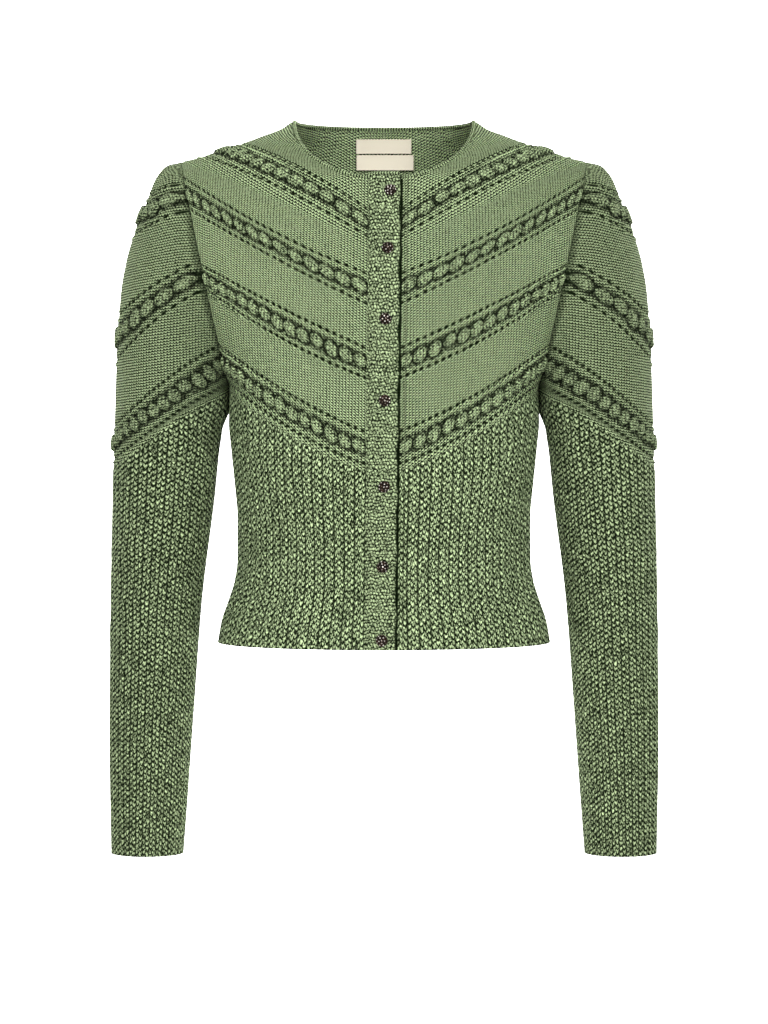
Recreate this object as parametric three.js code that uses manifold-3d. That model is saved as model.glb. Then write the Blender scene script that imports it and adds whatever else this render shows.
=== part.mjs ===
// A knitted trachten cardigan, hollow as it is worn: two fronts, back, puffed sleeves, button bands,
// rolled neck edge, two bare labels and seven domed metal buttons.
// Millimetres, +Z up. The front faces -Y, and the origin lies midway between the two neck points.
import * as THREE from "three";
import { mergeVertices } from "three/addons/utils/BufferGeometryUtils.js";
import Module from "manifold-3d";

const wasm = await Module();
wasm.setup();

// Thickness and seams
const wall = 2.6;
const seamGap = 0.3;
const armholeGap = 0.45;

// Relief of the knitting, measured from the plain surface
const relief = { ridge: 1.3, bobble: 3.2, betweenBobbles: 0.5, rib: 0.8, ribValley: -0.2, gather: 1.5 };

const reliefFade = { none: 16, full: 48 }; // distances from the underarm

// Places on the body
const neckHalfWidth = 85.6;
const frontNeckDrop = 59;
const backNeckDrop = 3.2;
const shoulderTip = { x: 188, z: -37.5 };
const underarm = { x: 143.5, z: -246 };
const armholeHalfDepth = 58;
const hemDrop = 483;
const roundness = 0.86; // power of the cosine in each half section: 1 is an ellipse, less is squarer

const shoulderLine = [
  { z: 0, x: neckHalfWidth },
  { z: -7.4, x: 96.8 },
  { z: -13, x: 111.5 },
  { z: -24.2, x: 142 },
  { z: -35.3, x: 177.5 },
  { z: shoulderTip.z, x: shoulderTip.x },
];

const sideSeam = [
  { z: underarm.z, x: underarm.x },
  { z: -277, x: 143.8 },
  { z: -296, x: 142 },
  { z: -333, x: 138.3 },
  { z: -370, x: 135.2 },
  { z: -407, x: 135.4 },
  { z: -426, x: 138 },
  { z: -444, x: 143.6 },
  { z: -463, x: 150 },
  { z: -hemDrop, x: 153.6 },
];

const bodyDepths = [
  { z: 0, front: 34, back: 67 },
  { z: -15, front: 50, back: 75 },
  { z: -30, front: 63, back: 82 },
  { z: -54, front: 79, back: 90 },
  { z: -100, front: 97, back: 98 },
  { z: -150, front: 108, back: 102 },
  { z: -200, front: 113, back: 100 },
  { z: -260, front: 110, back: 93 },
  { z: -330, front: 101, back: 84 },
  { z: -390, front: 96, back: 82 },
  { z: -440, front: 100, back: 89 },
  { z: -hemDrop, front: 106, back: 97 },
];

// Knitted bands: the height of each edge at the front opening and at the armhole or shoulder,
// and how far it bows up from the straight line between them
const bodyBands = [
  { upper: { middle: -84.7, edge: -20, bow: 5 }, lower: { middle: -115.1, edge: -34.5, bow: 5.5 } },
  { upper: { middle: -142, edge: -51, bow: -7 }, lower: { middle: -175.9, edge: -88, bow: -3 } },
  { upper: { middle: -209.5, edge: -132.5, bow: -2 }, lower: { middle: -242.4, edge: -161, bow: -7 } },
  { upper: { middle: -284.3, edge: -205, bow: -6 }, lower: { middle: -320.5, edge: underarm.z, bow: -8 } },
];
const backDip = 8; // how much lower the bands are at the centre back than at the front opening

// Sleeve: the heights at the outer line and at the front and back seam, and its outline.
// The first band is short, so its bobbles are on every fourth column.
const sleeveBands = [
  { upper: { middle: -66, edge: -57 }, lower: { middle: -111, edge: -89.5 }, every: 4 },
  { upper: { middle: -177, edge: -131.5 }, lower: { middle: -228, edge: -162.5 } },
  { upper: { middle: -280, edge: -207 }, lower: { middle: -318, edge: -248 } },
];
const cuffDrop = 677;
const capSpan = THREE.MathUtils.degToRad(22);
const capRows = [
  { crown: shoulderTip.z, ease: 0, gather: 0 },
  { crown: -41.5, ease: 0.3, gather: 0.7 },
  { crown: -50, ease: 0.65, gather: 1 },
];
const gathersPerTurn = 26;
const innerSlide = 0.2; // how far the inner end of a sloping sleeve section sinks for each mm of its outer end

const sleeveOuterEdge = [
  { z: shoulderTip.z, x: shoulderTip.x },
  { z: -41, x: 200 },
  { z: -47, x: 206.5 },
  { z: -58, x: 213.5 },
  { z: -73, x: 219.5 },
  { z: -100, x: 230.5 },
  { z: -130, x: 239.5 },
  { z: -160, x: 244.5 },
  { z: -212, x: 248 },
  { z: -300, x: 250.5 },
  { z: -435, x: 252.5 },
  { z: -560, x: 253.5 },
  { z: -cuffDrop, x: 251.5 },
];

const sleeveInnerEdge = [
  { z: underarm.z, x: underarm.x },
  { z: -258, x: 143.8 },
  { z: -269, x: 144.4 },
  { z: -277, x: 147.2 },
  { z: -287, x: 150.9 },
  { z: -351, x: 158 },
  { z: -444, x: 169.3 },
  { z: -537, x: 176 },
  { z: -630, x: 182.5 },
  { z: -cuffDrop, x: 186 },
];

const sleeveDepths = [
  { z: shoulderTip.z, half: armholeHalfDepth, forward: 0 },
  { z: -80, half: 61, forward: 0 },
  { z: -150, half: 63, forward: 0 },
  { z: -250, half: 59, forward: 1 },
  { z: -350, half: 52, forward: 4 },
  { z: -444, half: 44, forward: 8 },
  { z: -560, half: 36, forward: 13 },
  { z: -cuffDrop, half: 30, forward: 16 },
];

// Columns of each piece: every second one carries a rib and a bobble
const frontColumns = 28;
const backColumns = 56;
const sleeveColumns = 44;
const insideStep = 4;

// Button bands
const bandHalfWidth = 14;
const bandTop = -56;
const bandSteps = 18;
const bandFlush = 5; // width over which the upper band rises from the right front onto the left one
const bandLift = 3.3;
const bandProud = 0.01; // how far its flush side stands above the right front
const lowerBandStart = 8; // how far the lower band starts in from the upper band's flush edge
const bandLean = { top: 1, hem: -4 };
const button = { radius: 5.5, height: 4.2, shank: 1, hole: 10, slit: 2.6, petals: 6, petalDepth: 0.06 };
const buttonPlaces = [
  { z: -70, x: 5.6 },
  { z: -122, x: 3.2 },
  { z: -185.5, x: 1.2 },
  { z: -258, x: 0.5 },
  { z: -335.5, x: 0 },
  { z: -408.5, x: -1 },
  { z: -474.5, x: -2 },
];

// Neck edge and labels
const neckRoll = {
  radius: 1.9,
  steps: 14,
  sides: 6,
  overBand: [
    { x: 13, lift: 2 },
    { x: 5, lift: 2 },
    { x: -4, lift: 2 },
    { x: -11, lift: 0.4 },
  ],
};
const label = { thickness: 0.8, standOff: 1.5, columns: 6 };
const labels = [
  { name: "label_upper", left: -27, right: 26.5, top: -9.4, bottom: -22.6 },
  { name: "label_lower", left: -26.5, right: 28.5, top: -24, bottom: -38.4 },
];

// Colours of the materials
const yarn = new THREE.MeshStandardMaterial({ color: 0x78865f, roughness: 0.93, metalness: 0 });
const yarnDark = new THREE.MeshStandardMaterial({ color: 0x697753, roughness: 0.93, metalness: 0 });
const woven = new THREE.MeshStandardMaterial({ color: 0xcec3ae, roughness: 0.8, metalness: 0 });
const metal = new THREE.MeshStandardMaterial({ color: 0x4b443d, roughness: 0.42, metalness: 0.85 });

const { lerp, clamp, smoothstep } = THREE.MathUtils;
const quarter = Math.PI / 2;

// Value of one column of a table at a height, on a curve that never overshoots its rows
function tableAt(table, column, z) {
  const last = table.length - 1;
  if (z >= table[0].z) return table[0][column];
  if (z <= table[last].z) return table[last][column];
  const slopes = table.slice(1).map((row, i) => (row[column] - table[i][column]) / (row.z - table[i].z));
  const tangent = (i) => {
    if (i === 0 || i === last) return slopes[Math.min(i, last - 1)];
    const [before, after] = [slopes[i - 1], slopes[i]];
    return before * after <= 0 ? 0 : (2 * before * after) / (before + after);
  };
  const i = table.findIndex((row, k) => k < last && z <= row.z && z >= table[k + 1].z);
  const span = table[i + 1].z - table[i].z;
  const t = (z - table[i].z) / span;
  const rise = table[i + 1][column] - table[i][column];
  const [m0, m1] = [tangent(i) * span, tangent(i + 1) * span];
  const curve = t * t * (3 - 2 * t) * rise + t * (1 - t) * (1 - t) * m0 - t * t * (1 - t) * m1;
  return table[i][column] + curve;
}

// The armhole is a flat loop from the shoulder tip to the underarm
const armholeMiddle = (shoulderTip.z + underarm.z) / 2;
const armholeHalfHeight = (shoulderTip.z - underarm.z) / 2;

function armholeTurn(z) {
  return Math.acos(clamp((z - armholeMiddle) / armholeHalfHeight, -1, 1));
}

function armholeZ(turn) {
  return armholeMiddle + armholeHalfHeight * Math.cos(turn);
}

function bodyDepth(face, z) {
  return tableAt(bodyDepths, face < 0 ? "front" : "back", z);
}

// Angle of the outer edge of a panel: the side seam and shoulder at a right angle, the armhole before it
function edgeAngle(face, z) {
  const depth = armholeHalfDepth * Math.sin(armholeTurn(z));
  const reach = Math.max(depth, seamGap / 2) / bodyDepth(face, z);
  return Math.acos(Math.pow(reach, 1 / roundness));
}

function halfWidth(face, z) {
  if (z >= shoulderTip.z) return tableAt(shoulderLine, "x", z);
  if (z <= underarm.z) return tableAt(sideSeam, "x", z);
  const line = lerp(underarm.x, shoulderTip.x, (z - underarm.z) / (shoulderTip.z - underarm.z));
  return line / Math.sin(edgeAngle(face, z));
}

// Point of the body's outer surface: face -1 is the front and 1 the back, side -1 the wearer's right
function bodyPoint(face, side, angle, z) {
  const a = clamp(angle, 0, quarter);
  const y = bodyDepth(face, z) * Math.pow(Math.max(Math.cos(a), 0), roundness);
  return new THREE.Vector3(side * halfWidth(face, z) * Math.sin(a), face * y, z);
}

// Steps by which the slopes of a surface are read
const probe = { angle: 0.012, height: 0.4 };

// Normal of a surface from its slopes about a point, on the side that the outward vector is on
function normalOf(surface, u, v, outward) {
  const across = surface(u + probe.angle, v).sub(surface(u - probe.angle, v));
  const along = surface(u, v + probe.height).sub(surface(u, v - probe.height));
  const normal = across.cross(along).normalize();
  return normal.dot(outward) < 0 ? normal.negate() : normal;
}

function bodyNormal(face, side, angle, z) {
  const outward = bodyPoint(face, side, angle, z).setZ(z > shoulderTip.z ? neckHalfWidth / 2 : 0);
  const a = clamp(angle, 2 * probe.angle, quarter - 2 * probe.angle);
  return normalOf((u, v) => bodyPoint(face, side, u, v), a, Math.min(z, -2 * probe.height), outward);
}

// Point of a sleeve's outer surface: turn 0 is the outer line, pi the underarm, positive turns the front
function sleevePoint(side, turn, z) {
  const start = underarm.z - innerSlide * shoulderTip.z;
  const level = start / (1 - innerSlide);
  const c = Math.cos(turn);
  const sloped = (z - (start * (1 - c)) / 2) / ((1 + c) / 2 + (innerSlide * (1 - c)) / 2);
  const outerZ = z > level ? Math.min(sloped, shoulderTip.z) : z;
  const innerZ = z > level ? start + innerSlide * outerZ : z;
  const outerX = tableAt(sleeveOuterEdge, "x", outerZ);
  const innerX = tableAt(sleeveInnerEdge, "x", innerZ);
  const half = tableAt(sleeveDepths, "half", outerZ);
  const y = -tableAt(sleeveDepths, "forward", outerZ) - half * Math.sin(turn);
  const x = (outerX + innerX) / 2 + ((outerX - innerX) / 2) * c + armholeGap;
  return new THREE.Vector3(side * x, y, z);
}

function sleeveNormal(side, turn, z) {
  const middle = sleevePoint(side, quarter, z).add(sleevePoint(side, -quarter, z)).multiplyScalar(0.5);
  const outward = sleevePoint(side, turn, z).sub(middle);
  if (z > armholeMiddle) outward.z += armholeHalfDepth / 2;
  const v = Math.min(z, armholeZ(turn) - 2 * probe.height);
  return normalOf((t, h) => sleevePoint(side, t, h), turn, v, outward);
}

// How much of the relief stays: none where sleeve and body touch at the underarm
function reliefShare(point) {
  const reach = Math.hypot(Math.abs(point.x) - underarm.x, point.y, point.z - underarm.z);
  return smoothstep(reach, reliefFade.none, reliefFade.full);
}

function reliefOf({ kind, every = 2 }, column, columns) {
  if (column === 0 || column === columns) return 0;
  const raised = column % every === every / 2;
  if (kind === "ridge") return relief.ridge;
  if (kind === "bobbles") return raised ? relief.bobble : relief.betweenBobbles;
  if (kind === "rib") return raised ? relief.rib : relief.ribValley;
  return 0;
}

// Rows of a piece from its top to its hem: bands with two ridges and a line of bobbles, then the rib
function knittedRows(bands, tops, breaks, hem, ribSteps) {
  const rows = [...tops];
  bands.forEach((band, i) => {
    const steps = [
      { share: 0, kind: "plain", inside: true },
      { share: 0.14, kind: "ridge" },
      { share: 0.5, kind: "bobbles" },
      { share: 0.86, kind: "ridge" },
      { share: 1, kind: "plain", inside: true },
    ];
    for (const { share, ...row } of steps) {
      rows.push({ ...row, every: band.every, ...between(band.upper, band.lower, share) });
    }
    const below = bands[i + 1];
    for (const share of below ? breaks[i] : []) {
      rows.push({ kind: "plain", inside: share > 0.3, ...between(band.lower, below.upper, share) });
    }
  });
  const start = bands[bands.length - 1].lower;
  for (const share of ribSteps) rows.push({ kind: "rib", inside: share > 0.1, ...between(start, hem, share) });
  return rows;
}

function between(from, to, share) {
  const value = (key) => lerp(from[key] ?? 0, to[key] ?? 0, share);
  return { middle: value("middle"), edge: value("edge"), bow: value("bow") };
}

// Closed solid from an outer grid and an inner one, which keeps only the picked rows and columns.
// From row joined downwards the first and last columns are one.
function clothSolid(outer, inner, rowPicks, columnPicks, joined = Infinity) {
  const lastRow = outer.length - 1;
  const lastColumn = outer[0].length - 1;
  const width = lastColumn + 1;
  const count = outer.length * width;
  const column = (r, c) => (r >= joined && c === lastColumn ? 0 : c);
  const out = (r, c) => r * width + column(r, c);
  const ins = (r, c) => count + r * width + column(r, c);
  const faces = [];
  const quad = (a, b, c, d) => faces.push([a, b, c], [a, c, d]);
  for (let r = 0; r < lastRow; r++) {
    for (let c = 0; c < lastColumn; c++) quad(out(r, c), out(r + 1, c), out(r + 1, c + 1), out(r, c + 1));
  }
  for (let i = 0; i + 1 < rowPicks.length; i++) {
    const [r, s] = [rowPicks[i], rowPicks[i + 1]];
    for (let k = 0; k + 1 < columnPicks.length; k++) {
      const [c, d] = [columnPicks[k], columnPicks[k + 1]];
      quad(ins(r, c), ins(r, d), ins(s, d), ins(s, c));
    }
  }
  const rim = (cells) => {
    const [a, b] = [ins(...cells[0]), ins(...cells[cells.length - 1])];
    const turn = Math.floor((cells.length - 1) / 2);
    cells.slice(1).forEach((cell, m) => faces.push([out(...cell), out(...cells[m]), m < turn ? a : b]));
    faces.push([out(...cells[turn]), a, b]);
  };
  const range = (a, b) => Array.from({ length: Math.abs(b - a) + 1 }, (_, k) => a + Math.sign(b - a) * k);
  const sides = rowPicks.filter((r) => r <= joined);
  for (let i = 0; i + 1 < sides.length; i++) {
    rim(range(sides[i], sides[i + 1]).map((r) => [r, 0]));
    rim(range(sides[i + 1], sides[i]).map((r) => [r, lastColumn]));
  }
  for (let k = 0; k + 1 < columnPicks.length; k++) {
    rim(range(columnPicks[k], columnPicks[k + 1]).map((c) => [lastRow, c]));
    rim(range(columnPicks[k + 1], columnPicks[k]).map((c) => [0, c]));
  }
  return solidFrom([...outer.flat(), ...inner.flat()], faces);
}

// Geometry with only the points in use, turned so that its faces point outwards
function solidFrom(points, faces) {
  const kept = new Map();
  const position = [];
  const index = [];
  for (const face of faces) {
    if (new Set(face).size < 3) continue;
    for (const id of face) {
      if (!kept.has(id)) {
        kept.set(id, kept.size);
        position.push(...points[id].toArray());
      }
      index.push(kept.get(id));
    }
  }
  const geometry = new THREE.BufferGeometry();
  geometry.setAttribute("position", new THREE.Float32BufferAttribute(position, 3));
  geometry.setIndex(volumeOf(position, index) < 0 ? index.reverse() : index);
  geometry.computeVertexNormals();
  return geometry;
}

function volumeOf(position, index) {
  const corner = (i) => new THREE.Vector3().fromArray(position, index[i] * 3);
  let sum = 0;
  for (let i = 0; i < index.length; i += 3) sum += corner(i).dot(corner(i + 1).cross(corner(i + 2)));
  return sum / 6;
}

function picks(count, step) {
  const list = [];
  for (let i = 0; i < count; i += step) list.push(i);
  list.push(count);
  return list;
}

function clothFrom(rows, columns, place, joined) {
  const outer = rows.map((row) => {
    return Array.from({ length: columns + 1 }, (_, c) => place(row, c / columns, reliefOf(row, c, columns)));
  });
  const inner = rows.map((row) => {
    return Array.from({ length: columns + 1 }, (_, c) => place(row, c / columns, -wall));
  });
  const rowPicks = rows.map((row, i) => (row.inside ? i : -1)).filter((i) => i >= 0);
  return clothSolid(outer, inner, rowPicks, picks(columns, insideStep), joined);
}

// Line of the button bands' middle, which leans a little towards the wearer's right at the hem
function bandMiddle(z) {
  return lerp(bandLean.top, bandLean.hem, clamp((bandTop - z) / (bandTop + hemDrop), 0, 1));
}

// Distance of each front's edge from the middle plane
function openingEdge(side, z) {
  if (side < 0) return bandHalfWidth + seamGap - bandMiddle(z);
  return bandHalfWidth + seamGap / 2 + bandMiddle(z);
}

// Angle and height of a point of a body row, share 0 at the opening or centre back and 1 at the edge.
// Seen from the front a row is a straight line, but for its bow.
function bodyRowAt(face, side, row, share) {
  const start = (z) => (face < 0 ? openingEdge(side, z) : 0);
  if (row.kind === "neck") {
    const drop = face < 0 ? frontNeckDrop : backNeckDrop;
    const from = Math.asin(start(-drop) / neckHalfWidth);
    const round = lerp(from, quarter, share);
    const z = -drop * Math.cos(round);
    const x = neckHalfWidth * Math.sin(round);
    const limit = edgeAngle(face, z);
    return { z, angle: Math.min(Math.asin(clamp(x / halfWidth(face, z), 0, 1)), limit) };
  }
  const limit = edgeAngle(face, row.edge);
  const reach = halfWidth(face, row.edge) * Math.sin(limit);
  const across = Math.sin(share * limit) / Math.sin(limit);
  const z = lerp(row.middle, row.edge, across) + 4 * row.bow * across * (1 - across);
  const x = lerp(start(row.middle), reach, across);
  return { z, angle: Math.min(Math.asin(clamp(x / halfWidth(face, z), 0, 1)), edgeAngle(face, z)) };
}

function bodyPlace(face, side, row, share, lift) {
  let { z, angle } = bodyRowAt(face, side, row, share);
  if (row.under) {
    const neck = bodyRowAt(face, side, { kind: "neck" }, share);
    z = lerp(neck.z, z, row.under);
    angle = lerp(neck.angle, angle, row.under);
  }
  const point = bodyPoint(face, side, angle, z);
  const amount = lift > 0 ? lift * reliefShare(point) : lift;
  return point.addScaledVector(bodyNormal(face, side, angle, z), amount);
}

function bodyRows(face) {
  const dip = face < 0 ? 0 : backDip;
  const lower = ({ middle, edge, bow }) => ({ middle: middle - dip, edge, bow });
  const bands = bodyBands.map((band) => ({ upper: lower(band.upper), lower: lower(band.lower) }));
  const under = (share) => ({ kind: "plain", inside: true, under: share, ...bands[0].upper });
  const tops = [{ kind: "neck", inside: true }, ...(face < 0 ? [0.5] : [0.22, 0.55]).map(under)];
  const tip = (shoulderTip.z - bands[0].lower.edge) / (bands[1].upper.edge - bands[0].lower.edge);
  const hem = { middle: -hemDrop, edge: -hemDrop, bow: 0 };
  return knittedRows(bands, tops, [[tip], [0.5], [0.5]], hem, [0.04, 0.3, 0.55, 0.78, 1]);
}

function frontPiece(side) {
  const place = (row, share, lift) => bodyPlace(-1, side, row, share, lift);
  return clothFrom(bodyRows(-1), frontColumns, place);
}

function backPiece() {
  const place = (row, share, lift) => bodyPlace(1, share < 0.5 ? -1 : 1, row, Math.abs(2 * share - 1), lift);
  return clothFrom(bodyRows(1), backColumns, place);
}

// Point of a sleeve row, share 0 at the front seam, 0.5 at the outer line and 1 at the back seam
function sleevePlace(side, row, share, lift) {
  const across = 1 - 2 * share;
  const isCap = row.kind === "cap";
  const span = isCap ? lerp(capSpan, armholeTurn(sleeveBands[0].upper.edge), row.ease) : armholeTurn(row.edge);
  const turn = across * span;
  let z = lerp(row.middle, row.edge, (1 - Math.cos(turn)) / (1 - Math.cos(span)));
  if (isCap) z = Math.min(lerp(row.crown, armholeZ(span), across * across), armholeZ(turn));
  const point = sleevePoint(side, turn, z);
  const wave = Math.cos(turn * gathersPerTurn) * (1 - Math.abs(across));
  const gathered = isCap ? relief.gather * row.gather * wave : 0;
  const amount = lift >= 0 ? (lift + gathered) * reliefShare(point) : lift;
  return point.addScaledVector(sleeveNormal(side, turn, z), amount);
}

function sleevePiece(side) {
  const tops = capRows.map((row, i) => ({ ...row, kind: "cap", inside: i !== 1 }));
  const hem = { middle: -cuffDrop, edge: -cuffDrop };
  const rows = knittedRows(sleeveBands, tops, [[0.5], [0.5]], hem, [0.03, 0.2, 0.4, 0.6, 0.8, 1]);
  const joined = rows.findIndex((row) => row.edge <= underarm.z);
  return clothFrom(rows, sleeveColumns, (row, share, lift) => sleevePlace(side, row, share, lift), joined);
}

// Point over the front opening at a distance x from the middle plane
function openingPoint(x, z, lift) {
  const side = x < 0 ? -1 : 1;
  const angle = Math.asin(Math.abs(x) / halfWidth(-1, z));
  return bodyPoint(-1, side, angle, z).addScaledVector(bodyNormal(-1, side, angle, z), lift);
}

// Strip over the opening: columns across it, rows from its top to the hem
function openingStrip(from, to, columns, insideColumns, bottom, top) {
  const grid = (height) => {
    return Array.from({ length: bandSteps + 1 }, (_, r) => {
      const z = lerp(bandTop, -hemDrop, r / bandSteps);
      return Array.from({ length: columns + 1 }, (_, c) => {
        const x = lerp(from, to, c / columns);
        return openingPoint(bandMiddle(z) + x, z, height(x));
      });
    });
  };
  return clothSolid(grid(top), grid(bottom), picks(bandSteps, 1), picks(columns, insideColumns));
}

function manifoldOf(geometry) {
  return new wasm.Manifold(
    new wasm.Mesh({
      numProp: 3,
      vertProperties: new Float32Array(geometry.getAttribute("position").array),
      triVerts: new Uint32Array(geometry.index.array),
    }),
  );
}

function geometryOf(manifold) {
  const { vertProperties, triVerts, numProp } = manifold.getMesh();
  const geometry = new THREE.BufferGeometry();
  const position = Array.from(triVerts, (id) => [0, 1, 2].map((k) => vertProperties[id * numProp + k])).flat();
  geometry.setAttribute("position", new THREE.Float32BufferAttribute(position, 3));
  geometry.computeVertexNormals();
  return geometry;
}

// Box through the upper band for one buttonhole, square to the cloth
function slitAt({ x, z }) {
  const out = openingPoint(x, z, 1).sub(openingPoint(x, z, 0));
  const up = new THREE.Vector3(1, 0, 0).cross(out).normalize();
  const corners = [];
  for (const depth of [-wall, bandLift + wall]) {
    for (const [i, k] of [[-1, -1], [1, -1], [1, 1], [-1, 1]]) {
      const corner = openingPoint(x, z, depth).addScaledVector(up, (-k * button.slit) / 2);
      corners.push(corner.setX(corner.x + (i * button.hole) / 2));
    }
  }
  const faces = [[0, 2, 1], [0, 3, 2], [4, 5, 6], [4, 6, 7]];
  for (let k = 0; k < 4; k++) {
    const n = (k + 1) % 4;
    faces.push([k, n, n + 4], [k, n + 4, k + 4]);
  }
  return manifoldOf(solidFrom(corners, faces));
}

// Upper band: flush with the right front at one side, lying over the left front at the other
function buttonholeBand() {
  const rise = (x) => lerp(bandProud, bandLift, smoothstep(x, -bandHalfWidth, bandFlush - bandHalfWidth));
  const strip = openingStrip(-bandHalfWidth, bandHalfWidth, 8, 1, (x) => rise(x) - wall, rise);
  let solid = manifoldOf(strip);
  for (const place of buttonPlaces) solid = solid.subtract(slitAt(place));
  return geometryOf(solid);
}

// Lower band, flush with the left front and hidden under the upper one
function buttonBand() {
  const to = bandHalfWidth - seamGap / 2;
  return openingStrip(lowerBandStart - bandHalfWidth, to, 4, 2, () => -wall, () => 0);
}

// Domed button with a petalled rim on a shank that stands just clear of the lower band
function buttonGeometry() {
  const { radius, height, shank, petals } = button;
  const base = bandLift + seamGap;
  const profile = [
    { r: 0, rise: seamGap },
    { r: shank, rise: seamGap },
    { r: shank, rise: base },
    { r: radius * 0.86, rise: base },
    { r: radius, rise: base + height * 0.22 },
    { r: radius * 0.84, rise: base + height * 0.6 },
    { r: radius * 0.6, rise: base + height * 0.72 },
    { r: radius * 0.42, rise: base + height * 0.98 },
    { r: 0, rise: base + height },
  ].map(({ r, rise }) => new THREE.Vector2(r, rise));
  const lathe = new THREE.LatheGeometry(profile, petals * 2);
  lathe.deleteAttribute("normal");
  lathe.deleteAttribute("uv");
  const geometry = mergeVertices(lathe.rotateX(quarter), seamGap / 10);
  const place = geometry.getAttribute("position");
  for (let i = 0; i < place.count; i++) {
    const petal = Math.abs(Math.sin((Math.atan2(place.getY(i), place.getX(i)) * petals) / 2));
    const fold = place.getZ(i) > base ? 1 - button.petalDepth * petal : 1;
    place.setXY(i, place.getX(i) * fold, place.getY(i) * fold);
  }
  geometry.computeVertexNormals();
  return geometry;
}

// Rolled neck edge: from the upper band's free corner round the back neck to the left front
function neckBinding() {
  const parts = [
    { face: -1, side: -1 },
    { face: 1, side: -1, reverse: true },
    { face: 1, side: 1 },
    { face: -1, side: 1, reverse: true },
  ];
  const centres = [];
  const ups = [];
  const outs = [];
  const add = (face, side, share) => {
    const at = bodyRowAt(face, side, { kind: "neck" }, share);
    const next = bodyRowAt(face, side, { kind: "neck" }, Math.min(share + probe.angle, 1));
    const last = bodyRowAt(face, side, { kind: "neck" }, Math.max(share - probe.angle, 0));
    const point = bodyPoint(face, side, at.angle, at.z);
    const run = bodyPoint(face, side, next.angle, next.z).sub(bodyPoint(face, side, last.angle, last.z));
    const normal = bodyNormal(face, side, at.angle, at.z);
    const up = normal.clone().cross(run).normalize();
    if (up.z - Math.sign(point.x) * up.x < 0) up.negate();
    centres.push(point.addScaledVector(normal, -wall / 2).addScaledVector(up, neckRoll.radius + seamGap));
    ups.push(up);
    outs.push(normal);
  };
  for (const { x, lift } of neckRoll.overBand) {
    const z = bandTop + neckRoll.radius + seamGap;
    centres.push(openingPoint(bandMiddle(z) + x, z, lift));
    ups.push(new THREE.Vector3(0, 0, 1));
    outs.push(bodyNormal(-1, 1, 0, z));
  }
  parts.forEach(({ face, side, reverse }, i) => {
    for (let k = 0; k < neckRoll.steps; k++) {
      const share = k / neckRoll.steps;
      if (i === 0 && k === 0) continue;
      add(face, side, reverse ? 1 - share : share);
    }
  });
  add(-1, 1, 0.02);
  const rings = centres.map((centre, i) => {
    return Array.from({ length: neckRoll.sides }, (_, k) => {
      const a = (k / neckRoll.sides) * 2 * Math.PI;
      const offset = ups[i].clone().multiplyScalar(Math.cos(a)).addScaledVector(outs[i], Math.sin(a));
      return centre.clone().addScaledVector(offset, neckRoll.radius);
    });
  });
  return tubeFrom(rings);
}

// Closed tube through rings with the same number of points
function tubeFrom(rings) {
  const sides = rings[0].length;
  const last = rings.length - 1;
  const points = rings.flat();
  const faces = [];
  for (let r = 0; r < last; r++) {
    for (let k = 0; k < sides; k++) {
      const [a, b] = [r * sides + k, r * sides + ((k + 1) % sides)];
      faces.push([a, b, b + sides], [a, b + sides, a + sides]);
    }
  }
  for (let k = 1; k + 1 < sides; k++) {
    faces.push([0, k + 1, k], [last * sides, last * sides + k, last * sides + k + 1]);
  }
  return solidFrom(points, faces);
}

// Woven label on the inside of the back, built from the panel's own points
function labelPiece({ left, right, top, bottom }) {
  const sheet = (lift) => {
    return [top, (top + bottom) / 2, bottom].map((z) => {
      return Array.from({ length: label.columns + 1 }, (_, c) => {
        const x = lerp(left, right, c / label.columns);
        const side = x < 0 ? -1 : 1;
        const angle = Math.asin(Math.abs(x) / halfWidth(1, z));
        return bodyPoint(1, side, angle, z).addScaledVector(bodyNormal(1, side, angle, z), lift);
      });
    });
  };
  const outside = -wall - label.standOff;
  return clothSolid(sheet(outside), sheet(outside - label.thickness), [0, 1, 2], picks(label.columns, 1));
}

const cardigan = new THREE.Group();

function addPiece(name, geometry, material) {
  const mesh = new THREE.Mesh(geometry, material);
  mesh.name = name;
  cardigan.add(mesh);
  return mesh;
}

addPiece("front_right", frontPiece(-1), yarn);
addPiece("front_left", frontPiece(1), yarn);
addPiece("back", backPiece(), yarn);
addPiece("sleeve_right", sleevePiece(-1), yarn);
addPiece("sleeve_left", sleevePiece(1), yarn);
addPiece("buttonhole_band", buttonholeBand(), yarn);
addPiece("button_band", buttonBand(), yarnDark);
addPiece("neck_binding", neckBinding(), yarn);
for (const place of labels) addPiece(place.name, labelPiece(place), woven);
const dome = buttonGeometry();
buttonPlaces.forEach((place, i) => {
  const mesh = addPiece(`button_${i + 1}`, dome, metal);
  mesh.position.copy(openingPoint(place.x, place.z, 0));
  const side = place.x < 0 ? -1 : 1;
  const angle = Math.asin(Math.abs(place.x) / halfWidth(-1, place.z));
  mesh.quaternion.setFromUnitVectors(new THREE.Vector3(0, 0, 1), bodyNormal(-1, side, angle, place.z));
});

export default cardigan;
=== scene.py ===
import math

import bmesh
import bpy
import numpy as np
from mathutils import Matrix, Vector


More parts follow.
